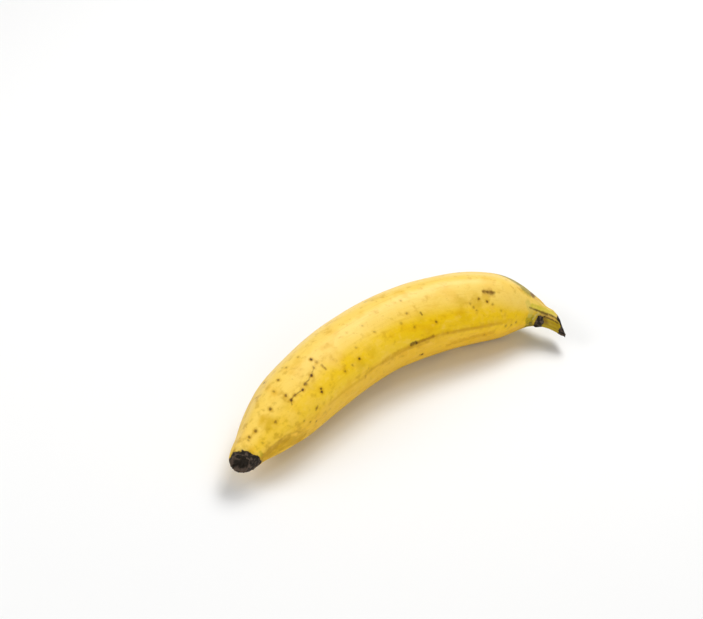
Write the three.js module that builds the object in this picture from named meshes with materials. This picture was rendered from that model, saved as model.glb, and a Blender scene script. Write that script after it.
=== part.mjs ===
// A ripe plantain, cut from its hand and lying on its side, as it rests on a table.
// It grew as one piece: a blunt blossom end, a curved body with five soft ridges,
// and a short, angular stalk that a knife went through at a slant.
// Millimetres, +Z up. +X runs from the blossom end towards the stalk, the hollow
// side of the bend faces -Y, and the origin is on the table, under the middle.
import * as THREE from 'three';
import { mergeVertices } from 'three/addons/utils/BufferGeometryUtils.js';

// ---- Driving dimensions ----

// Half the fruit's width, at distances along its centreline from the blossom end.
const HALF_WIDTHS = [
  [2.2, 6.5], [3.6, 7.6], [8, 9.1], [15, 10.8], [28, 15.2], [41, 18.9], [52, 21.1], [67, 22.7], [89, 24],
  [126, 23.9], [162, 24.4], [193, 23.6], [211, 22], [223, 19.5], [233, 15], [242, 10.1], [251, 6.6],
  [261, 5.5],
];
const LENGTH = HALF_WIDTHS.at(-1)[0];

// How tightly the centreline bends along the way, in degrees per millimetre.
const BENDS = [
  [0, 0.28], [46, 0.06], [86, 0.2], [131, 0.33], [175, 0.28], [203, 0.52], [223, 0.72], [240, 0.88],
  [261, 1.12],
];

// The ridges where the five flanks meet, as angles round the section at the blossom
// end: 0 is the upper side and 90 the hollow side of the bend. Towards the stalk,
// all five turn together by the angles in RIDGE_TURNS.
const RIDGES = [-28, 55, 121, 187, 260];
const RIDGE_TURNS = [[0, 0], [80, 1], [150, 9], [200, 20], [232, 27], [261, 27]];

// How angular the section is: 2.5 would be nearly round, and 8 a sharp pentagon.
const ANGULARITY = [[0, 4.4], [30, 4.6], [80, 3.8], [170, 3.8], [215, 4.6], [245, 6], [261, 6]];

// The stalk's cut: its slant, the angle of its longest side, how far up the stalk
// the slant is taken up, and how far the cut's middle has dried in.
const CUT_SLANT = 1.4;
const CUT_LONG_SIDE = 110;
const CUT_REACH = 16;
const CUT_HOLLOW = 1.2;

// The blossom scar: the same four, and the width of its raised rim.
const SCAR_SLANT = 0.4;
const SCAR_LONG_SIDE = 200;
const SCAR_REACH = 14;
const SCAR_HOLLOW = 1.3;
const SCAR_RIM = 2.2;

// How the fruit lies on the table: rolled about its length, and tipped along it.
const ROLL = 12;
const TIP = 0.8;

// Mesh divisions.
const STEPS_ALONG = 72;
const STEPS_ROUND = 40;
const CENTRELINE_STEPS = 600;

// ---- Tables of [place along the fruit, value] ----

// The value at a place, straight between the rows and level past the last one.
function tableValue(rows, place) {
  const next = rows.findIndex((row) => row[0] > place);
  if (next < 1) return (next === 0 ? rows[0] : rows.at(-1))[1];
  const [[start, from], [end, to]] = rows.slice(next - 1, next + 1);
  return THREE.MathUtils.mapLinear(place, start, end, from, to);
}

// ---- Centreline ----

const radians = THREE.MathUtils.degToRad;
const step = LENGTH / CENTRELINE_STEPS;

// Evenly spaced points and headings along the centreline, in the plane of its bend,
// centred and turned so that the straight line between its two ends lies along +X.
function growCentreline() {
  const line = [{ point: new THREE.Vector2(), heading: 0 }];
  for (let i = 0; i < CENTRELINE_STEPS; i++) {
    const { point, heading } = line[i];
    const turn = radians(tableValue(BENDS, (i + 0.5) * step)) * step;
    const middleHeading = heading - turn / 2;
    const stride = new THREE.Vector2(Math.cos(middleHeading), Math.sin(middleHeading)).multiplyScalar(step);
    line.push({ point: point.clone().add(stride), heading: heading - turn });
  }
  const end = line.at(-1).point;
  const centre = end.clone().multiplyScalar(0.5);
  const chordAngle = end.angle();
  const origin = new THREE.Vector2();
  return line.map(({ point, heading }) => ({
    point: point.clone().sub(centre).rotateAround(origin, -chordAngle),
    heading: heading - chordAngle,
  }));
}

const centreline = growCentreline();

// The centreline's point and heading at a place, carried on straight past both ends.
function centreAt(along) {
  const onLine = THREE.MathUtils.clamp(along, 0, LENGTH) / step;
  const i = Math.min(Math.floor(onLine), CENTRELINE_STEPS - 1);
  const [a, b] = [centreline[i], centreline[i + 1]];
  const heading = THREE.MathUtils.lerp(a.heading, b.heading, onLine - i);
  const past = along - onLine * step;
  const ahead = new THREE.Vector2(Math.cos(heading), Math.sin(heading)).multiplyScalar(past);
  return { point: a.point.clone().lerp(b.point, onLine - i).add(ahead), heading };
}

// ---- Section ----

// The share of the half width at an angle round the section. Each flank holds the
// skin in along its own normal, and the more angular the section is, the more only
// the nearest flank counts, so that the ridges between the flanks stand out.
function sectionShare(angle, along) {
  const angularity = tableValue(ANGULARITY, along);
  const turn = tableValue(RIDGE_TURNS, along);
  const hold = RIDGES.reduce((sum, ridge, i) => {
    const nextRidge = RIDGES[i + 1] ?? RIDGES[0] + 360;
    const flank = radians((ridge + nextRidge) / 2 + turn);
    return sum + Math.max(0, Math.cos(angle - flank)) ** angularity;
  }, 0);
  return hold ** (-1 / angularity);
}

// How far a skin point near either end is carried along the fruit by that end's slant.
function slantShift(angle, along, reach) {
  const nearCut = THREE.MathUtils.smoothstep(along, LENGTH - CUT_REACH, LENGTH);
  const nearScar = 1 - THREE.MathUtils.smoothstep(along, 0, SCAR_REACH);
  const towardsCut = CUT_SLANT * Math.cos(angle - radians(CUT_LONG_SIDE)) * nearCut;
  const towardsScar = SCAR_SLANT * Math.cos(angle - radians(SCAR_LONG_SIDE)) * nearScar;
  return (towardsCut - towardsScar) * reach;
}

// ---- Fruit ----

// The half widths as a smooth turned profile, closed by the scar and by the cut.
function turnedProfile() {
  const side = new THREE.SplineCurve(HALF_WIDTHS.map(([along, half]) => new THREE.Vector2(half, along)));
  const [scarAt, scarHalf] = HALF_WIDTHS[0];
  const cutHalf = HALF_WIDTHS.at(-1)[1];
  return [
    new THREE.Vector2(0, scarAt + SCAR_HOLLOW),
    new THREE.Vector2(scarHalf - SCAR_RIM, scarAt + SCAR_HOLLOW * 0.8),
    new THREE.Vector2(scarHalf - SCAR_RIM * 0.4, scarAt - 0.4),
    ...side.getPoints(STEPS_ALONG),
    new THREE.Vector2(cutHalf * 0.8, LENGTH),
    new THREE.Vector2(cutHalf * 0.5, LENGTH - CUT_HOLLOW),
    new THREE.Vector2(0, LENGTH - CUT_HOLLOW),
  ];
}

// Where a point of the turned shape ends up on the bent, ridged fruit.
function grownPoint(turned) {
  const angle = Math.atan2(turned.x, turned.z);
  const along = turned.y;
  const reach = Math.hypot(turned.x, turned.z) * sectionShare(angle, along);
  const { point, heading } = centreAt(along + slantShift(angle, along, reach));
  const inwards = reach * Math.sin(angle);
  return new THREE.Vector3(
    point.x + inwards * Math.sin(heading),
    point.y - inwards * Math.cos(heading),
    reach * Math.cos(angle),
  );
}

function makeFruit() {
  const geometry = new THREE.LatheGeometry(turnedProfile(), STEPS_ROUND);
  const positions = geometry.getAttribute('position');
  for (let i = 0; i < positions.count; i++) {
    const grown = grownPoint(new THREE.Vector3().fromBufferAttribute(positions, i));
    positions.setXYZ(i, grown.x, grown.y, grown.z);
  }
  geometry.deleteAttribute('normal');
  geometry.deleteAttribute('uv');
  return mergeVertices(geometry);
}

const peel = new THREE.MeshStandardMaterial({ color: '#e9bd32', roughness: 0.5, metalness: 0 });

const fruit = new THREE.Mesh(makeFruit(), peel);
fruit.name = 'plantain';
fruit.rotation.set(radians(ROLL), radians(TIP), 0);

// Set down on the table, with the middle of its outline over the origin.
const outline = new THREE.Box3().setFromObject(fruit, true);
const middle = outline.getCenter(new THREE.Vector3());
fruit.position.set(-middle.x, -middle.y, -outline.min.z);

const part = new THREE.Group();
part.add(fruit);

export default part;
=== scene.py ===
# A ripe plantain, cut from its hand and lying on its side on a pale table.
# Names ending in _MM are in millimetres; Blender's own lengths are in metres.
import math

import bmesh
import bpy
import numpy as np
from mathutils import Matrix, Vector, noise


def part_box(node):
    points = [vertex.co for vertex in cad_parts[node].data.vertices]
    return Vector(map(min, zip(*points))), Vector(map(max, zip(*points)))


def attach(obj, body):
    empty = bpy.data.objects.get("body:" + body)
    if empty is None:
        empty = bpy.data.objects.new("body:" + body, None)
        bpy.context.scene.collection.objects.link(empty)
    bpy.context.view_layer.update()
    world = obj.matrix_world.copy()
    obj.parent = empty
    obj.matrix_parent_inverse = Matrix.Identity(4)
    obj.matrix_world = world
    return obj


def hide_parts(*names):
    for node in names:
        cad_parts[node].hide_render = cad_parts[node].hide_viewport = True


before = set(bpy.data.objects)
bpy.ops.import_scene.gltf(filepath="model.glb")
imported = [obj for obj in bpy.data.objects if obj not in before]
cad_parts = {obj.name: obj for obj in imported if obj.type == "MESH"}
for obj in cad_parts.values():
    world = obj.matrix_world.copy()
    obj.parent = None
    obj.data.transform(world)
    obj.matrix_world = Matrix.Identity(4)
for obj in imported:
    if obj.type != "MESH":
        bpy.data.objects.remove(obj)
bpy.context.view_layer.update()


# ---- Table, light and camera -------------------------------------------------------------
# A smooth, pale table top, wide enough to fill the view. Three soft boxes hang round the
# fruit and a low one lights the side in front, and a pale room fills in the rest.

MM = 0.001
TABLE_WIDTH = 6.0

shape = bmesh.new()
bmesh.ops.create_grid(shape, x_segments=2, y_segments=2, size=TABLE_WIDTH / 2)
table_mesh = bpy.data.meshes.new("table")
shape.to_mesh(table_mesh)
shape.free()
table = bpy.data.objects.new("table", table_mesh)
bpy.context.collection.objects.link(table)

# Matt white laminate: no pattern that would draw the eye from the fruit.
matt_laminate = bpy.data.materials.new("matt_laminate")
matt_laminate.use_nodes = True
laminate = matt_laminate.node_tree.nodes["Principled BSDF"]
laminate.inputs["Base Color"].default_value = (0.88, 0.88, 0.875, 1)
laminate.inputs["Roughness"].default_value = 0.8
laminate.inputs["Specular IOR Level"].default_value = 0.2
table_mesh.materials.append(matt_laminate)

SOFT_BOX_AWAY = 1.3
SOFT_BOXES = [
    # name, which way round it hangs and how high, both in degrees, its width and its watts
    ("soft_box_behind", 32, 55, 0.5, 8.4),
    ("soft_box_stalk_end", 0, 60, 0.5, 3.8),
    ("soft_box_tip_end", 155, 35, 0.75, 5.2),
    ("soft_box_front", 237, 15, 0.65, 5.4),
]
for name, turn, height, width, watts in SOFT_BOXES:
    lamp = bpy.data.lights.new(name, "AREA")
    lamp.shape = "SQUARE"
    lamp.size = width
    lamp.energy = watts
    turn, height = math.radians(turn), math.radians(height)
    place = SOFT_BOX_AWAY * Vector((
        math.cos(turn) * math.cos(height), math.sin(turn) * math.cos(height), math.sin(height)
    ))
    soft_box = bpy.data.objects.new(name, lamp)
    soft_box.location = place
    soft_box.rotation_euler = (-place).to_track_quat("-Z", "Y").to_euler()
    bpy.context.collection.objects.link(soft_box)

room = bpy.data.worlds.new("white_room")
room.use_nodes = True
walls = room.node_tree.nodes["Background"]
walls.inputs["Color"].default_value = (1, 1, 1, 1)
walls.inputs["Strength"].default_value = 0.35
bpy.context.scene.world = room
bpy.context.scene.view_settings.view_transform = "Standard"

# A short telephoto lens, looking down at the table past the fruit's hollow side.
LENS_MM = 85
SENSOR_MM = 36
CAMERA_TURN = math.radians(-33.3)
CAMERA_DIP = math.radians(40)
CAMERA_DISTANCE = 1.0956
LOOKED_AT = Vector((0.0252, 0.0696, 0))

forward = Vector((
    -math.sin(CAMERA_TURN) * math.cos(CAMERA_DIP),
    math.cos(CAMERA_TURN) * math.cos(CAMERA_DIP),
    -math.sin(CAMERA_DIP),
))
lens = bpy.data.cameras.new("camera")
lens.lens = LENS_MM
lens.sensor_width = SENSOR_MM
lens.sensor_fit = "HORIZONTAL"
camera = bpy.data.objects.new("camera", lens)
camera.location = LOOKED_AT - forward * CAMERA_DISTANCE
camera.rotation_euler = forward.to_track_quat("-Z", "Y").to_euler()
bpy.context.collection.objects.link(camera)
bpy.context.scene.camera = camera


# ---- The plantain ------------------------------------------------------------------------
# One fruit that grew in one piece: a leathery, waxy peel over soft pulp, with the dried
# scar of its flower at one end and the stub of its stalk, cut through at a slant, at the
# other. It is spun like a spindle, and then ridged, worn and bent, point by point.
#
# A place on it is given as a distance along its centreline from the blossom end, in mm, and
# an angle round its section: 0 is its upper side and 90 the hollow side of its bend.

# Half its width at places along it, in mm.
HALF_WIDTHS = [
    (2.2, 6.5), (3.6, 7.6), (8, 9.1), (15, 10.8), (28, 15.2), (41, 18.9), (52, 21.1),
    (67, 22.7), (89, 24), (126, 23.9), (162, 24.4), (193, 23.6), (211, 22), (223, 19.5),
    (233, 15), (242, 10.1), (251, 6.6), (261, 5.5),
]
LENGTH_MM = HALF_WIDTHS[-1][0]

# How tightly the centreline bends along the way, in degrees per mm.
BENDS = [
    (0, 0.28), (46, 0.06), (86, 0.2), (131, 0.33), (175, 0.28), (203, 0.52), (223, 0.72),
    (240, 0.88), (261, 1.12),
]

# Five flanks meet at five ridges. The angles are those at the blossom end, and all the
# ridges turn towards the stalk. The higher its angularity, the sharper a ridge is.
RIDGES = [-28, 55, 121, 187, 260]
RIDGE_TURNS = [(0, 0), (80, 1), (150, 9), (200, 20), (232, 27), (261, 27)]
ANGULARITY = [(0, 4.4), (30, 4.6), (80, 3.8), (170, 3.8), (215, 4.6), (245, 6), (261, 6)]

# Each end's face: how steeply it slants, which side of it is longer, how far along the fruit
# the slant reaches and how hollow it is. The scar's rim has a width, and a lip that stands out.
CUT_SLANT = 1.4
CUT_LONG_SIDE = 110
CUT_REACH_MM = 16
CUT_HOLLOW_MM = 1.2
SCAR_SLANT = 0.4
SCAR_LONG_SIDE = 200
SCAR_REACH_MM = 14
SCAR_HOLLOW_MM = 1.3
SCAR_RIM_MM = 2.2
SCAR_LIP_MM = 0.4

# How the fruit lies: rolled about its length, and tipped along it.
ROLL = math.radians(12)
TIP = math.radians(0.8)

# How far apart the mesh's rows are, at places along the fruit, and how many rows each end's
# face has. Points closer than the last size are merged.
ROW_GAPS = [(2.2, 0.3), (12, 0.4), (30, 0.75), (205, 0.85), (230, 0.6), (244, 0.42), (261, 0.35)]
SCAR_ROWS = 15
CUT_ROWS = 12
SPIN_STEPS = 240
MERGE_MM = 1e-4


def smoothed(points, steps):
    """A smooth line through points, with this many steps from each to the next."""
    points = np.array(points, float)
    ends = np.concatenate([points[:1], points, points[-1:]])
    line = []
    for before, start, end, after in zip(ends, ends[1:], ends[2:], ends[3:]):
        for t in np.arange(steps) / steps:
            leave, arrive = (end - before) / 2, (after - start) / 2
            line.append(
                (2 * start - 2 * end + leave + arrive) * t**3
                + (3 * end - 3 * start - 2 * leave - arrive) * t**2
                + leave * t
                + start
            )
    return np.array(line + [points[-1]])


def table_value(rows, place, period=None):
    """The value at a place in rows of (place, value), straight between the rows."""
    places, values = zip(*rows)
    return np.interp(place, places, values, period=period)


def ease(low, high, value):
    """0 at low and 1 at high, with a smooth step between them."""
    share = np.clip((value - low) / (high - low), 0, 1)
    return share * share * (3 - 2 * share)


# The turned outline, from the middle of the blossom scar, over its rim, along the side and
# over the cut's edge to the middle of the cut.
side = smoothed(HALF_WIDTHS, steps=40)
rows = [HALF_WIDTHS[0][0]]
while rows[-1] < LENGTH_MM - ROW_GAPS[-1][1]:
    rows.append(rows[-1] + table_value(ROW_GAPS, rows[-1]))
rows[-1] = LENGTH_MM
side_rows = [(along, np.interp(along, side[:, 0], side[:, 1])) for along in rows]

scar_at, scar_half = HALF_WIDTHS[0]
cut_half = HALF_WIDTHS[-1][1]
scar_face = smoothed(
    [
        (scar_at + SCAR_HOLLOW_MM, 0),
        (scar_at + SCAR_HOLLOW_MM * 0.8, scar_half - SCAR_RIM_MM),
        (scar_at - SCAR_LIP_MM, scar_half - SCAR_RIM_MM * 0.4),
        (scar_at, scar_half),
    ],
    steps=SCAR_ROWS // 3,
)[:-1]
cut_face = smoothed(
    [
        (LENGTH_MM, cut_half),
        (LENGTH_MM, cut_half * 0.8),
        (LENGTH_MM - CUT_HOLLOW_MM, cut_half * 0.5),
        (LENGTH_MM - CUT_HOLLOW_MM, 0),
    ],
    steps=CUT_ROWS // 3,
)[1:]
outline = [*scar_face, *side_rows, *cut_face]

shape = bmesh.new()
outline_points = [shape.verts.new((along, 0, half)) for along, half in outline]
outline_edges = [shape.edges.new(pair) for pair in zip(outline_points, outline_points[1:])]
bmesh.ops.spin(
    shape,
    geom=outline_points + outline_edges,
    cent=(0, 0, 0),
    axis=(1, 0, 0),
    angle=math.tau,
    steps=SPIN_STEPS,
    use_merge=True,
)
bmesh.ops.remove_doubles(shape, verts=shape.verts, dist=MERGE_MM)

# Where each point is on the straight, turned fruit.
turned = np.array([point.co for point in shape.verts])
along = turned[:, 0]
half = np.hypot(turned[:, 1], turned[:, 2])
angle = np.arctan2(turned[:, 1], turned[:, 2])


def on_skin(along, angle, half):
    """A place on the peel laid straight, with its ridges untwisted, which patterns follow."""
    straight = angle - np.radians(table_value(RIDGE_TURNS, along))
    return np.stack([along, half * np.cos(straight), half * np.sin(straight)], axis=-1)


def placed(along, degrees):
    """The same, for a place given in degrees, as a vector."""
    half = np.interp(along, side[:, 0], side[:, 1])
    return Vector(on_skin(along, math.radians(degrees), half))


skin = on_skin(along, angle, half)
ridge_angle = np.arctan2(skin[:, 2], skin[:, 1])


def section_share(angle, along):
    """The share of the half width at an angle, held in by the five flanks."""
    angularity = table_value(ANGULARITY, along)
    turn = table_value(RIDGE_TURNS, along)
    hold = 0
    for ridge, next_ridge in zip(RIDGES, RIDGES[1:] + [RIDGES[0] + 360]):
        flank = np.radians((ridge + next_ridge) / 2 + turn)
        hold = hold + np.maximum(0, np.cos(angle - flank)) ** angularity
    return hold ** (-1 / angularity)


def unevenness(size, stretch=1):
    """Smooth noise about 0, in lumps of this size in mm, stretched lengthways."""
    scaled = skin / np.array([size * stretch, size, size])
    return np.array([noise.noise(Vector(point)) for point in scaled])


FAR_MM = 99.0


def off_line(ridge):
    """How far each point is from a line down the peel at this ridge angle, in mm."""
    apart = (ridge_angle - math.radians(ridge) + math.pi) % math.tau - math.pi
    return np.where(abs(apart) < math.pi / 2, half * np.sin(apart), FAR_MM)


def off_path(places):
    """How far each point is from a path between places on the peel, in mm."""
    ends = [np.array(placed(*place)) for place in places]
    nearest = np.full(len(skin), FAR_MM)
    for start, end in zip(ends, ends[1:]):
        run = end - start
        share = np.clip((skin - start) @ run / (run @ run), 0, 1)
        nearest = np.minimum(nearest, np.linalg.norm(skin - start - share[:, None] * run, axis=1))
    return nearest


# Lumps in the peel, from broad ones to fine wrinkles, and the crumples of dead skin.
coarse, medium, fine = unevenness(34, 1.6), unevenness(11, 2), unevenness(1.7, 9)
crumple = unevenness(1.5) + 0.6 * unevenness(0.7)

# Dead skin, black and crusty: round the blossom scar and round the cut, each given as how far
# along the fruit its edge is at angles round it, and where a neighbour tore away from the
# neck, in a patch along a path, with half its width and the line that it stops at.
SCAR_CRUST = [
    (-81, 2), (-60, 2.8), (-42, 3), (-20, 2.6), (-2, 2.9), (20, 3.8), (40, 4.8), (53, 6.2),
    (68, 8), (80, 9.2), (93, 9.8), (108, 9.6), (118, 7.6), (128, 5), (145, 4), (170, 5),
    (205, 4), (240, 3.4),
]
CUT_CRUST = [
    (-150, 258), (-100, 260.6), (-50, 262), (-10, 262), (8, 261.2), (18, 259.4), (30, 258.2),
    (42, 259.2), (60, 259), (90, 256.8), (130, 256.6), (170, 258.4),
]
TORN_PATCH = [(248.8, 40), (248.1, 80), (247.3, 115)]
TORN_PATCH_MM = 2.1
TORN_EDGE = [(246, 53), (251, 38)]
TORN_RAGGED_MM = 0.7
CRUST_RAGGED_MM = 1.1
CRUST_NIBBLED_MM = 0.3

# How far each point is outside it, so that less than 0 is inside.
degrees = np.degrees(angle)
from_scar_crust = along - table_value(SCAR_CRUST, degrees, 360)
from_cut_crust = table_value(CUT_CRUST, degrees, 360) - along
above_tear = np.radians(table_value(TORN_EDGE, along) - degrees) * half
from_torn_patch = np.maximum(off_path(TORN_PATCH) - TORN_PATCH_MM, above_tear)
from_torn_patch += TORN_RAGGED_MM * unevenness(2.2)
from_dead = np.minimum(np.minimum(from_scar_crust, from_cut_crust), from_torn_patch)
from_dead += CRUST_RAGGED_MM * unevenness(4) + CRUST_NIBBLED_MM * unevenness(1.3)

# All of both faces is dead, except where the peel curls over the back of the cut's edge: how
# far out on the face, and at which angles.
SLACK_MM = 0.1
WELL_INSIDE_MM = -2
CURL_RISES_MM = (3, 4.4)
CURL_ENDS = [(15, -5), (-140, -110)]
CURL_OUTSIDE_MM = 4
DEAD_EDGE_MM = (-0.5, 0.4)
by_scar_face = along < scar_at + SCAR_HOLLOW_MM + SLACK_MM
by_cut_face = along > LENGTH_MM - CUT_HOLLOW_MM - SLACK_MM
on_scar_face = by_scar_face & (half < scar_half - SCAR_LIP_MM)
on_cut_face = by_cut_face & (half < cut_half - SLACK_MM)
on_face = on_scar_face | on_cut_face
from_dead[on_face] = WELL_INSIDE_MM
curled = ease(*CURL_RISES_MM, half)
for curl_end in CURL_ENDS:
    curled = curled * ease(*curl_end, degrees)
from_dead += np.where(on_cut_face, CURL_OUTSIDE_MM * curled, 0)
dead = 1 - ease(*DEAD_EDGE_MM, from_dead)

# How far the peel stands out from the plain shape, in mm: first its lumps, by their heights.
COARSE_MM, MEDIUM_MM, FINE_MM = 0.7, 0.24, 0.05
relief = COARSE_MM * coarse + MEDIUM_MM * medium + FINE_MM * fine

# Each ridge is a low seam along the peel, which wanders a little and breaks off here and
# there. The one on the hollow side has been rubbed straight, and the top one nearly away.
HOLLOW_RIDGE = [(40, 60), (64, 65), (138, 64), (190, 67.5), (221, 69.5)]
RIDGE_WANDER_MM = 2.2
SEAM_RISES, SEAM_SINKS = (60, 100), (225, 240)
SEAM_HEIGHT_MM = 0.3
SEAM_HALF_WIDTH_MM = 1.6
TOP_SEAM_LEFT = 0.4
TOP_SEAM_REACH_MM = 6
wander = RIDGE_WANDER_MM * unevenness(30, 2)
from_ridge = off_path(HOLLOW_RIDGE)
for ridge in (RIDGES[0], *RIDGES[2:]):
    from_ridge = np.minimum(from_ridge, abs(off_line(ridge) + wander))
seam = ease(*SEAM_RISES, along) * (1 - ease(*SEAM_SINKS, along)) * (0.75 + 0.9 * medium)
seam = np.where(abs(off_line(RIDGES[0])) < TOP_SEAM_REACH_MM, TOP_SEAM_LEFT * seam, seam)
relief += SEAM_HEIGHT_MM * seam * np.exp(-((from_ridge / SEAM_HALF_WIDTH_MM) ** 2))

# The neck is drawn into folds that run into the stalk, between fine furrows: each fold's
# angle round it, how far it stands out, and half its width.
FOLDS = [
    (1.5, 0.95, 1.2), (33, -0.55, 2.6), (-34, -0.3, 2.2), (-62, 0.5, 1.4), (96, 0.45, 1.3),
    (128, -0.3, 1.8), (158, 0.5, 1.3), (190, -0.3, 1.8), (222, 0.5, 1.4), (256, -0.3, 1.6),
]
NECK = (233, 247)
FURROW_MM = 0.22
on_neck = ease(*NECK, along)
for ridge, height, width in FOLDS:
    relief += height * on_neck * np.exp(-((off_line(ridge) / width) ** 2))
relief += FURROW_MM * on_neck * unevenness(1.3, 7)

# Dents: where each is, how far it reaches along and round the peel, and how deep it is.
DENTS = [
    (24, 70, 9, 3.6, 0.9), (207, 14, 4, 2.2, 0.35), (143.7, 62, 4, 1.4, 0.45),
    (103, 64, 8, 1.4, 0.3), (63.5, 38, 1.2, 1.2, 0.25), (99.2, 40, 1.2, 1.2, 0.25),
]
for place, turn, long, wide, depth in DENTS:
    away = (skin - np.array(placed(place, turn))) / np.array([long, wide, wide])
    relief -= depth * np.exp(-(away**2).sum(axis=1))

# Dead skin is crusty, and the torn patch stands up from the neck.
CRUST_MM = 0.15
CRUMPLE_MM = 0.5
TORN_PATCH_HEIGHT_MM = 0.5
relief += np.where(on_face, 0, dead * (CRUST_MM + CRUMPLE_MM * crumple))
relief += TORN_PATCH_HEIGHT_MM * (1 - ease(-1, 0.4, from_torn_patch + crumple))

# Moved outwards by that much, less so within a few millimetres of the middle of an end, and
# along the fruit by each end's slant.
FULL_RELIEF_MM = 4
fading = np.minimum(1, half / FULL_RELIEF_MM)
reach = np.maximum(half * section_share(angle, along) + relief * fading, 0)
near_cut = ease(LENGTH_MM - CUT_REACH_MM, LENGTH_MM, along)
near_scar = 1 - ease(0, SCAR_REACH_MM, along)
shift = reach * (
    CUT_SLANT * np.cos(angle - math.radians(CUT_LONG_SIDE)) * near_cut
    - SCAR_SLANT * np.cos(angle - math.radians(SCAR_LONG_SIDE)) * near_scar
)

# The scar's face is puckered round a pit off its middle, inside a knobbly rim.
PIT = placed(4, -60) * 0.42
PIT_DEPTH_MM = 1.1
PIT_HALF_WIDTH_MM = 1.1
PUCKERS = 9
PUCKER_MM = 0.3
SCAR_CRUMPLE_MM = 0.9
KNOB_AT_MM = 5.1
KNOB_HALF_WIDTH_MM = 0.9
KNOB_HEIGHT_MM = 0.5
from_pit = np.linalg.norm(skin[:, 1:] - np.array(PIT)[1:], axis=1)
pucker = np.cos(PUCKERS * angle + 6 * unevenness(4)) * ease(0.8, 3.5, half)
scar_relief = PUCKER_MM * pucker + SCAR_CRUMPLE_MM * crumple
scar_relief += PIT_DEPTH_MM * np.exp(-((from_pit / PIT_HALF_WIDTH_MM) ** 2))
knobs = np.exp(-(((half - KNOB_AT_MM) / KNOB_HALF_WIDTH_MM) ** 2))
scar_relief -= (KNOB_HEIGHT_MM + 0.8 * unevenness(3)) * knobs
shift += np.where(by_scar_face, scar_relief * ease(6.6, 5.6, half), 0)

# The cut's face is torn fibre.
FIBRE_MM = 0.7
shift += np.where(on_cut_face, FIBRE_MM * crumple, 0)

# Dead skin is paler where it stands up: a painted highlight on the scar's rim and round its
# pit, and worn paler, with some painted highlight, on every crumple.
PALE_RIM_AT_MM = 5.2
PALE_RIM_HALF_WIDTH_MM = 0.9
PIT_EDGE_MM = 1.9
PIT_EDGE_HALF_WIDTH_MM = 0.5
rim = np.exp(-(((half - PALE_RIM_AT_MM) / PALE_RIM_HALF_WIDTH_MM) ** 2))
rim *= 0.8 + 1.1 * unevenness(2.6)
rim += 0.6 * np.exp(-(((from_pit - PIT_EDGE_MM) / PIT_EDGE_HALF_WIDTH_MM) ** 2))
worn_and_highlit = np.where(on_scar_face, 0.5 * crumple + 1.1 * rim - 0.2, crumple + 0.12)


def grow_centreline(steps=600):
    """Points and headings along the centreline, with its two ends level on X."""
    step = LENGTH_MM / steps
    turns = np.radians(table_value(BENDS, (np.arange(steps) + 0.5) * step)) * step
    headings = np.concatenate([[0], -np.cumsum(turns)])
    strides = headings[:-1] - turns / 2
    x = np.concatenate([[0], np.cumsum(np.cos(strides)) * step])
    y = np.concatenate([[0], np.cumsum(np.sin(strides)) * step])
    level = math.atan2(y[-1], x[-1])
    x, y = x - x[-1] / 2, y - y[-1] / 2
    x, y = x * math.cos(level) + y * math.sin(level), y * math.cos(level) - x * math.sin(level)
    return np.arange(steps + 1) * step, x, y, headings - level


places, line_x, line_y, headings = grow_centreline()


def on_fruit(along, angle, reach):
    """Points at these distances along the bent fruit, angles round it and reaches out."""
    heading = np.interp(along, places, headings)
    past = along - np.clip(along, 0, LENGTH_MM)
    inwards = reach * np.sin(angle)
    x = np.interp(along, places, line_x) + past * np.cos(heading) + inwards * np.sin(heading)
    y = np.interp(along, places, line_y) + past * np.sin(heading) - inwards * np.cos(heading)
    return np.stack([x, y, reach * np.cos(angle)], axis=1)


lying = np.array(Matrix.Rotation(ROLL, 3, "X") @ Matrix.Rotation(TIP, 3, "Y"))
grown = on_fruit(along + shift, angle, reach) @ lying.T * MM

# Laid where the frame's own plain fruit lies, touching the table.
low, high = (np.array(corner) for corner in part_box("plantain"))
middle = (grown.min(axis=0) + grown.max(axis=0)) / 2
grown += [*((low + high) / 2 - middle)[:2], low[2] - grown[:, 2].min()]

# How green the peel still is. The stalk yellows last, most of all at its back and below:
# at angles round it, how far along the fruit the green starts and how strong it gets.
GREEN_FROM = [
    (-150, 222), (-90, 215), (-60, 216), (-30, 236), (10, 240), (40, 240), (70, 236), (110, 231),
]
GREENNESS = [
    (-150, 1), (-80, 1), (-50, 0.7), (-25, 0.2), (15, 0.3), (28, 0.45), (45, 0.75), (110, 0.95),
]
GREEN_FADE_MM = 16
GREEN_WANDER_MM = 14
green_from = table_value(GREEN_FROM, degrees, 360)
greening = ease(green_from, green_from + GREEN_FADE_MM, along + GREEN_WANDER_MM * medium)
greening *= table_value(GREENNESS, degrees, 360)

# What the peel's pattern needs to know at each point, besides where it is.
for name, values in {
    "from_ridge": from_ridge, "from_dead": from_dead, "worn_and_highlit": worn_and_highlit, "greening": greening,
    "seam": seam,
}.items():
    layer = shape.verts.layers.float.new(name)
    for point, value in zip(shape.verts, values):
        point[layer] = value
skin_layer = shape.verts.layers.float_vector.new("skin")
for point, place, straight in zip(shape.verts, grown, skin):
    point.co = place
    point[skin_layer] = straight
bmesh.ops.recalc_face_normals(shape, faces=shape.faces)
for face in shape.faces:
    face.smooth = True
fruit_mesh = bpy.data.meshes.new("plantain_fruit")
shape.to_mesh(fruit_mesh)
shape.free()
fruit = bpy.data.objects.new("plantain_fruit", fruit_mesh)
bpy.context.collection.objects.link(fruit)


def linear(hex_colour):
    """An sRGB hex colour as Blender's linear red, green, blue and alpha."""
    parts = [int(hex_colour[i:i + 2], 16) / 255 for i in (0, 2, 4)]
    return [p / 12.92 if p <= 0.04045 else ((p + 0.055) / 1.055) ** 2.4 for p in parts] + [1]


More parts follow.
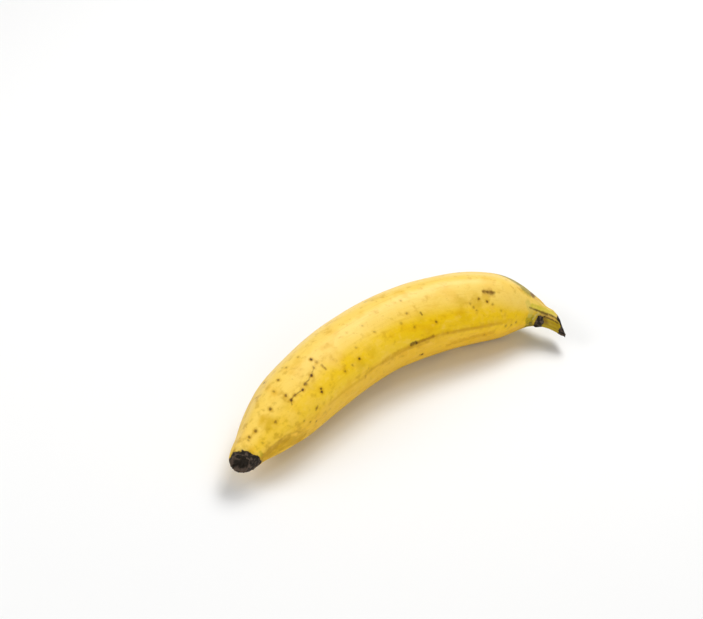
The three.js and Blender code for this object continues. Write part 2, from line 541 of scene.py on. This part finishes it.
# Ripe plantain peel: live skin under its own thin wax, so a satin sheen over a colour that
# is never even. It yellows last by the stalk, browns along its ridges and where it was
# knocked, and freckles all over. Where it has died back it is black and dull.
ripe_peel = bpy.data.materials.new("ripe_waxy_peel")
ripe_peel.use_nodes = True
peel = ripe_peel.node_tree
skin_sheen = peel.nodes["Principled BSDF"]
SOFT = {"interpolation_type": "SMOOTHSTEP"}
OVER = {"data_type": "RGBA", "out": 2}


def add(kind, *inputs, out=0, **settings):
    """Adds a node with these settings to the peel, and gives back one of its outputs.

    Its inputs, in order, each take a value or an output of another node; None leaves one.
    """
    node = peel.nodes.new("ShaderNode" + kind)
    for name, value in settings.items():
        setattr(node, name, value)
    for socket, value in zip(node.inputs, inputs):
        if isinstance(value, bpy.types.NodeSocket):
            peel.links.new(value, socket)
        elif value is not None:
            socket.default_value = value
    return node.outputs[out]


at = add("Attribute", attribute_name="skin", out=1)
at_along = add("SeparateXYZ", at)


def clouds(size_mm, stretch=1.0, detail=2.0):
    """Noise from 0 to 1, in clouds of this size, stretched lengthways."""
    squeezed = add("VectorMath", at, (1 / stretch, 1, 1), operation="MULTIPLY")
    return add("TexNoise", squeezed, None, 1 / size_mm, detail)


def facing(turn, full, none):
    """1 within full degrees of a line down the peel, and 0 past none degrees from it."""
    across = add("VectorMath", at, (0, 1, 1), operation="MULTIPLY")
    out_of_peel = add("VectorMath", across, operation="NORMALIZE")
    aim = (0, math.cos(math.radians(turn)), math.sin(math.radians(turn)))
    near = add("VectorMath", out_of_peel, aim, operation="DOT_PRODUCT", out=1)
    none, full = math.cos(math.radians(none)), math.cos(math.radians(full))
    return add("MapRange", near, none, full, **SOFT)


def pulled_about(size_mm, pull_mm):
    """Where each point is, pulled about in lumps of this size, by up to half this much."""
    pull = add("TexNoise", at, None, 1 / size_mm, 2.0, out=1)
    pull = add("VectorMath", pull, (0.5, 0.5, 0.5), operation="SUBTRACT")
    return add("VectorMath", pull, (pull_mm, pull_mm, pull_mm), at, operation="MULTIPLY_ADD")


# Spots and scratches have crisp, ragged edges, and smudges and patches have soft, lumpy ones.
# All marks are a little patchy.
ragged_at = pulled_about(1.6, 1.3)
cloudy_at = pulled_about(6, 7)
patchy = add("MapRange", clouds(2.2, 1.5), 0.3, 0.55, 0.65, 1, **SOFT)

SPECKLE_EDGE_MM = 0.8


def speckle(apart_mm, biggest_mm, seed):
    """Spots of up to this size, with this much room for each, some darker than others."""
    moved = add("VectorMath", ragged_at, (seed, seed, seed), operation="ADD")
    distance = add("TexVoronoi", moved, None, 1 / apart_mm)
    cell_colour = add("TexVoronoi", moved, None, 1 / apart_mm, out=1)
    chance = add("SeparateColor", cell_colour)
    size = add("Math", chance, biggest_mm / apart_mm, operation="MULTIPLY")
    inside = add("Math", size, distance, operation="SUBTRACT")
    spot = add("MapRange", inside, 0, SPECKLE_EDGE_MM / apart_mm, **SOFT)
    depth = add("SeparateColor", cell_colour, out=1)
    depth = add("Math", depth, 0.7, 0.3, operation="MULTIPLY_ADD")
    return add("Math", spot, depth, operation="MULTIPLY")


# Freckles that stand out: where each is, its size in mm from its middle, and how dark it is.
FRECKLES = [
    # the dark ones that dot the long scratch, and those beside it
    (74, -6, 1, 1), (66, 11, 1.1, 1), (55, 17, 1, 1), (45, 15, 1.1, 0.9), (59, 14, 1.2, 0.6),
    (49, 14, 1.1, 0.5), (71, 5, 0.9, 0.5), (75, 3, 1, 0.3), (64, 36, 0.8, 1), (63, 40, 1, 1),
    # from the tip to a third of the way
    (11, -7, 0.9, 0.4), (13, -10, 1, 0.7), (18, -4, 1, 0.7), (15, 33, 0.8, 0.3),
    (29, 21, 1, 0.6), (33, -4, 1, 0.8), (38, -50, 0.8, 0.4), (43, -17, 0.9, 0.5),
    (43, 57, 0.8, 0.4), (45, 3, 1, 0.7), (47, 68, 0.8, 0.5), (50, -56, 1, 0.7),
    (51, -23, 1, 0.7), (52, 77, 0.8, 0.5), (54, 53, 0.9, 0.5), (61, -27, 0.8, 0.5),
    (71, -24, 0.8, 0.4), (85, 40, 0.9, 0.5),
    # round the middle
    (92, 40, 0.9, 0.4), (98, 66, 0.9, 0.3), (99, 39, 1, 0.9), (102, 24, 0.9, 0.3),
    (116, 3, 0.8, 0.3), (120, 20, 0.8, 0.4), (140, 28, 1, 0.3), (147, 18, 0.9, 0.5),
    (148, -3, 0.8, 0.4), (148, 41, 0.9, 0.4), (151, 93, 0.8, 0.5), (153, 95, 1.2, 1),
    (160, 63, 1.1, 0.5), (165, 45, 1, 0.7), (172, 65, 0.9, 0.4),
    # on the shoulder
    (193, 31, 1, 0.3), (195, 38, 1, 0.4), (197, 43, 0.9, 0.4), (200, 26, 0.9, 0.7),
    (204, 88, 0.9, 0.8), (206, 31, 1, 0.8), (210, 36, 0.9, 0.4), (217, 47, 1, 0.3),
    (222, 75, 1.2, 0.4), (227, 76, 0.9, 0.5), (231, 72, 0.8, 0.6),
]
# How far past that size a freckle and the brown halo round it fade out, and from where, in mm.
SPOT_FADE = (0.3, -0.6)
HALO_FADE = (1.5, -0.2)
spots, halos = 0.0, 0.0
for place, turn, size, darkness in FRECKLES:
    away = add("VectorMath", ragged_at, placed(place, turn), operation="DISTANCE", out=1)
    none, full = (size + fade for fade in SPOT_FADE)
    spot = add("MapRange", away, none, full, 0, darkness, **SOFT)
    spots = add("Math", spots, spot, operation="MAXIMUM")
    none, full = (size + fade for fade in HALO_FADE)
    halo = add("MapRange", away, none, full, 0, darkness, **SOFT)
    halos = add("Math", halos, halo, operation="MAXIMUM")

# Where the yellow is deeper or paler: each patch's place, its size in mm, and how much deeper
# it is, which is less than 0 where it is paler.
PATCHES = [
    (26, 12, 5.5, 0.8), (60, 19, 4.5, 0.6), (42, 15, 4, 0.4), (97, 44, 5, 0.6),
    (110, 38, 5, 0.5), (136, -36, 5, 0.5), (155, 30, 5, 0.4), (149, 72, 3, 0.7),
    (198, 31, 6, 0.7), (186, 46, 6, 0.4), (187, 26, 5, 0.6), (205, 25, 4, 0.6),
    # painted light: the first paler patch on this row, at 12 mm and -35 degrees, on the upper
    # side by the tip
    (12, -35, 6, -1), (209, 5, 7, -0.8), (181, 9, 7, -0.8), (99, -22, 6, -0.7),
    (62, -12, 5.5, -0.7), (221, 19, 6, -0.6), (44, -29, 5, -0.6), (84, 20, 6, -0.5),
    (128, 0, 7, -0.4), (38, 36, 5, -0.4),
]
deeper, paler = 0.0, 0.0
for place, turn, size, depth in PATCHES:
    away = add("VectorMath", cloudy_at, placed(place, turn), operation="DISTANCE", out=1)
    patch = add("MapRange", away, size * 1.3, size * 0.3, 0, abs(depth), **SOFT)
    if depth > 0:
        deeper = add("Math", deeper, patch, operation="MAXIMUM")
    else:
        paler = add("Math", paler, patch, operation="MAXIMUM")

# Scratches, scuffs and streaks: colour, how strong, half the width in mm, and the path. Those
# past this half width are smudges with lumpy edges; the others have ragged ones.
SMUDGE_MM = 2
STREAKS = [
    # the green back of the shoulder, and a darker line of painted shadow along it
    ("B4A014", 0.5, 8.0, [(219, -62), (228, -46), (235, -36)]),
    ("887A06", 0.8, 5.4, [(220, -58), (228, -35), (233, -25), (236, -22)]),
    ("6A5600", 0.5, 1.4, [(221, -66), (228, -48), (236, -40)]),
    # the green hollow beside the torn patch and the darker line in it, both dulled in part by
    # painted shade
    ("827A00", 0.85, 3.0, [(242, 66), (241.6, 84), (242, 112)]),
    ("4E4A00", 0.7, 1.6, [(243.2, 84), (243.6, 112)]),
    ("CFBA52", 0.7, 2.0, [(237.5, 20), (241.5, 44), (241.2, 56)]),
    ("C2B434", 0.8, 1.6, [(241, 23), (247, 19), (252, 12), (258, 0)]),
    # a graze across the top of the neck, and a painted highlight along the neck's edge past it
    ("7A5828", 0.85, 1.5, [(238.4, -68), (240.4, -52), (239, -38)]),
    ("7A5828", 0.95, 2.0, [(239.6, -34), (240, -15)]),
    ("D8A648", 0.8, 1.2, [(241.6, -8), (245, -24), (252, -40), (257, -46)]),
    # the neck's edge: a pale strip between two dark lines
    ("D2A64C", 0.9, 0.8, [(248.6, 41), (252.2, 38), (255.8, 36)]),
    ("4E3A00", 0.95, 0.5, [(239.7, 31), (242.9, 32), (245.8, 31.5), (248.5, 31)]),
    ("3E2800", 1.0, 0.6, [(248.5, 31), (251.2, 29.5), (254, 25), (256.7, 25), (259.1, 31)]),
    ("4E3400", 0.95, 0.6, [(250.4, 49), (253, 46), (256, 45), (258.4, 46)]),
    # the torn patch's pale lip, and the bruise by it
    ("D2C274", 0.75, 0.6, [(244.2, 70), (245.1, 54), (246.6, 42)]),
    ("6A4610", 0.7, 1.3, [(250.6, 54), (251.2, 74)]),
    # dirt along the neck's underside
    ("8A6600", 0.5, 0.9, [(253, 66), (257, 64)]),
    ("8A7000", 0.5, 1.0, [(251, 88), (257, 84)]),
    # a bruise on the shoulder
    ("BC8824", 0.5, 2.1, [(204.6, 17), (211, 18.5)]),
    ("5A3A00", 0.9, 1.0, [(204.4, 15.4), (206.8, 16)]),
    ("6A4A10", 0.75, 1.4, [(207.6, 16.8), (210.6, 18)]),
    ("6A4A10", 0.6, 0.7, [(210, 16.6), (212.4, 17)]),
    # two rubbed lines nearer the neck
    ("C48A14", 0.45, 0.6, [(224, 0), (226, 4)]),
    ("BC8420", 0.45, 0.6, [(229, -3), (232, 0)]),
    # the scuffed ridge, and the line it runs on in
    ("C89400", 0.6, 1.9, [(116, 65), (131.6, 65), (141, 64)]),
    ("7E5000", 0.9, 0.9, [(146, 63), (152, 63.6), (160.6, 63.5)]),
    ("302000", 1.0, 1.25, [(141.6, 62.2), (145.8, 62.6)]),
    ("D09C00", 0.4, 2.2, [(150, 65), (172, 66), (191, 68), (208, 69)]),
    ("D09C00", 0.35, 1.8, [(205, 66), (226, 66)]),
    ("BE8C00", 0.5, 1.4, [(140, 66), (149, 68), (156, 68)]),
    ("B48000", 0.35, 1.1, [(160, 64), (172, 66), (191, 68), (207, 68.5), (218, 69)]),
    ("CA9600", 0.6, 2.2, [(174, 89), (189, 88), (205, 88), (212, 86)]),
    # creases under the ridge
    ("C69000", 0.5, 1.0, [(98, 69), (99.2, 64.5), (102.8, 63.5), (113, 64.5), (118, 65.5)]),
    ("CC9800", 0.4, 1.2, [(64, 65), (84, 65), (98, 67)]),
    # the dull hollow near the tip
    ("C09400", 0.8, 5.2, [(9, 88), (20, 87), (28, 84), (35, 88), (40, 96)]),
    ("B08400", 0.5, 2.6, [(11, 74), (20, 70), (29, 69)]),
    ("A67A00", 0.35, 0.9, [(13, 62), (22, 61), (29, 59), (36, 66), (41, 80)]),
    ("9C9414", 0.5, 1.5, [(9.6, 50), (9.8, 62)]),
    # a long scratch
    ("563000", 0.6, 0.3, [(70.6, 6), (65.7, 11)]),
    ("563000", 0.85, 0.3, [(65.7, 11), (63.5, 12), (58, 13.5)]),
    ("563000", 0.85, 0.35, [(54.6, 17.5), (51.8, 15), (47.6, 14), (44.6, 16), (43.2, 21)]),
    # a short nick and soft brown strokes
    ("563000", 0.75, 0.6, [(156.2, 24.5), (156.6, 28)]),
    ("8A5C00", 0.7, 0.8, [(75.7, 11), (75.7, 19)]),
    ("7E5600", 0.6, 0.5, [(53.4, 55.5), (55.4, 52)]),
]

mottle = clouds(26, 1.4)
blotch = clouds(9, 1.4, 3)
stain = clouds(3.8, 1.2, 4)
streak = clouds(1.4, 22, 3)
grain = clouds(0.9)
hidden_side = facing(215, 90, 130)
ridge = add("Attribute", attribute_name="from_ridge", out=2)
ridge = add("MapRange", ridge, 1.5, 0.1, **SOFT)
seam = add("Attribute", attribute_name="seam", out=2)
seam = add("Math", hidden_side, 0.3, seam, operation="MULTIPLY_ADD")
ridge = add("Math", ridge, add("MapRange", seam, 0.6, 1.1, **SOFT), operation="MULTIPLY")
greening = add("Attribute", attribute_name="greening", out=2)
by_tip = add("MapRange", at_along, 95, 20, **SOFT)
from_dead = add("Attribute", attribute_name="from_dead", out=2)
tear = add("Math", grain, 0.5, operation="SUBTRACT")
tear = add("Math", tear, 0.9, from_dead, operation="MULTIPLY_ADD")
dead = add("MapRange", tear, 0.35, -0.15, **SOFT)
dying = add("MapRange", tear, 3, 0, **SOFT)
worn_and_highlit = add("Attribute", attribute_name="worn_and_highlit", out=2)
big_freckles = speckle(8, 1.7, 3)
small_freckles = speckle(4.2, 0.85, 11)

# From the ripe yellow up: each colour, and how much of it lies over what is under it.
LAYERS = [
    ("EEC634", add("MapRange", mottle, 0.42, 0.68, 0, 0.65, **SOFT)),
    # painted highlight: a cream band along the upper side
    ("F8DA86", add("Math", facing(-20, 12, 48), 0.5, operation="MULTIPLY")),
    # painted light: the upper side paler near the tip
    ("F4CC54", add(
        "Math", facing(0, 45, 80), add("Math", by_tip, 0.45, operation="MULTIPLY"),
        operation="MULTIPLY",
    )),
    ("DCA600", add("MapRange", blotch, 0.5, 0.72, 0, 0.5, **SOFT)),
    ("EEC44C", add("MapRange", blotch, 0.48, 0.3, 0, 0.4, **SOFT)),
    ("F2C95E", add("Math", paler, 0.8, operation="MULTIPLY")),
    ("CDA200", add("Math", deeper, 0.8, operation="MULTIPLY")),
    ("F3CC58", add("MapRange", stain, 0.48, 0.3, 0, 0.3, **SOFT)),
    ("E6B226", add("Math", facing(80, 10, 30), 0.5, operation="MULTIPLY")),
    ("BE8C00", add("MapRange", stain, 0.54, 0.76, 0, 0.42, **SOFT)),
    ("B88A00", add(
        "Math", add("MapRange", stain, 0.48, 0.66, 0, 0.3, **SOFT), by_tip,
        operation="MULTIPLY",
    )),
    ("CF9A0C", add("MapRange", streak, 0.52, 0.8, 0, 0.25, **SOFT)),
    ("B08000", add("MapRange", grain, 0.58, 0.85, 0, 0.25, **SOFT)),
    ("A8920C", greening),
    ("AC7E00", add(
        "Math", ridge, add("MapRange", hidden_side, 0, 1, 0.3, 0.95, **SOFT),
        operation="MULTIPLY",
    )),
    ("9A6800", add("Math", small_freckles, 0.45, operation="MULTIPLY")),
    ("5A3600", add("Math", big_freckles, hidden_side, operation="MULTIPLY")),
    ("C08A00", add("Math", halos, 0.6, operation="MULTIPLY")),
    ("4A3000", add("Math", spots, 0.95, operation="MULTIPLY")),
]
colour = linear("EABF0A")
for hex_colour, amount in LAYERS:
    colour = add("Mix", amount, *[None] * 5, colour, linear(hex_colour), **OVER)

marks = spots
for hex_colour, strength, width, path in STREAKS:
    pulled_at = cloudy_at if width > SMUDGE_MM else ragged_at
    nearest = FAR_MM
    for start, end in zip(path, path[1:]):
        start, end = placed(*start), placed(*end)
        run = end - start
        per_run = run / run.length_squared
        from_start = add("VectorMath", pulled_at, start, operation="SUBTRACT")
        share = add("VectorMath", from_start, per_run, operation="DOT_PRODUCT", out=1)
        share = add("Clamp", share)
        on_run = add("VectorMath", run, None, None, share, operation="SCALE")
        off = add("VectorMath", from_start, on_run, operation="DISTANCE", out=1)
        nearest = add("Math", nearest, off, operation="MINIMUM")
    none, full = width * 1.1 + 0.5, width * 0.7 - 0.5
    amount = add("MapRange", nearest, none, full, 0, strength, **SOFT)
    amount = add("Math", amount, patchy, operation="MULTIPLY")
    colour = add("Mix", amount, *[None] * 5, colour, linear(hex_colour), **OVER)
    marks = add("Math", marks, amount, operation="MAXIMUM")

# Dead skin goes from a brown rim to black, and is paler where it stands up, worn in part and in
# part painted highlight.
DEAD_LAYERS = [
    ("7D6412", add(
        "Math", dying, add("Math", stain, 0.6, operation="MULTIPLY"), operation="MULTIPLY",
    )),
    ("1C1306", dead),
    ("5C4C40", add(
        "Math", dead, add("MapRange", worn_and_highlit, 0, 0.65, 0, 0.8, **SOFT), operation="MULTIPLY",
    )),
]
for hex_colour, amount in DEAD_LAYERS:
    colour = add("Mix", amount, *[None] * 5, colour, linear(hex_colour), **OVER)
peel.links.new(colour, skin_sheen.inputs["Base Color"])

# The wax is a satin, and its grain, its marks and dead skin are each duller by this much.
WAX_ROUGHNESS = 0.29
DULLER_IN_GRAIN = 0.14
DULLER_IN_MARKS = 0.15
DULLER_WHERE_DEAD = 0.14
roughness = add("Math", grain, DULLER_IN_GRAIN, WAX_ROUGHNESS, operation="MULTIPLY_ADD")
roughness = add("Math", marks, DULLER_IN_MARKS, roughness, operation="MULTIPLY_ADD")
roughness = add("Math", dead, DULLER_WHERE_DEAD, roughness, operation="MULTIPLY_ADD")
peel.links.new(roughness, skin_sheen.inputs["Roughness"])
skin_sheen.inputs["IOR"].default_value = 1.38
skin_sheen.inputs["Specular IOR Level"].default_value = 0.3

# Pores, fine wrinkles, the pits of marks and the grit of dead skin are too small for the mesh,
# and are given as shares of this height.
PORE_HEIGHT_MM = 0.25
pores = add("Math", grain, 0.3, operation="MULTIPLY")
pores = add("Math", streak, 0.35, pores, operation="MULTIPLY_ADD")
pores = add("Math", stain, 0.5, pores, operation="MULTIPLY_ADD")
pores = add("Math", marks, -0.8, pores, operation="MULTIPLY_ADD")
grit = add("Math", dead, clouds(0.8, 1, 4), operation="MULTIPLY")
pores = add("Math", grit, 4, pores, operation="MULTIPLY_ADD")
bumps = add("Bump", 0.5, PORE_HEIGHT_MM * MM, None, pores)
peel.links.new(bumps, skin_sheen.inputs["Normal"])
fruit_mesh.materials.append(ripe_peel)

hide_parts("plantain")
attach(fruit, "root")
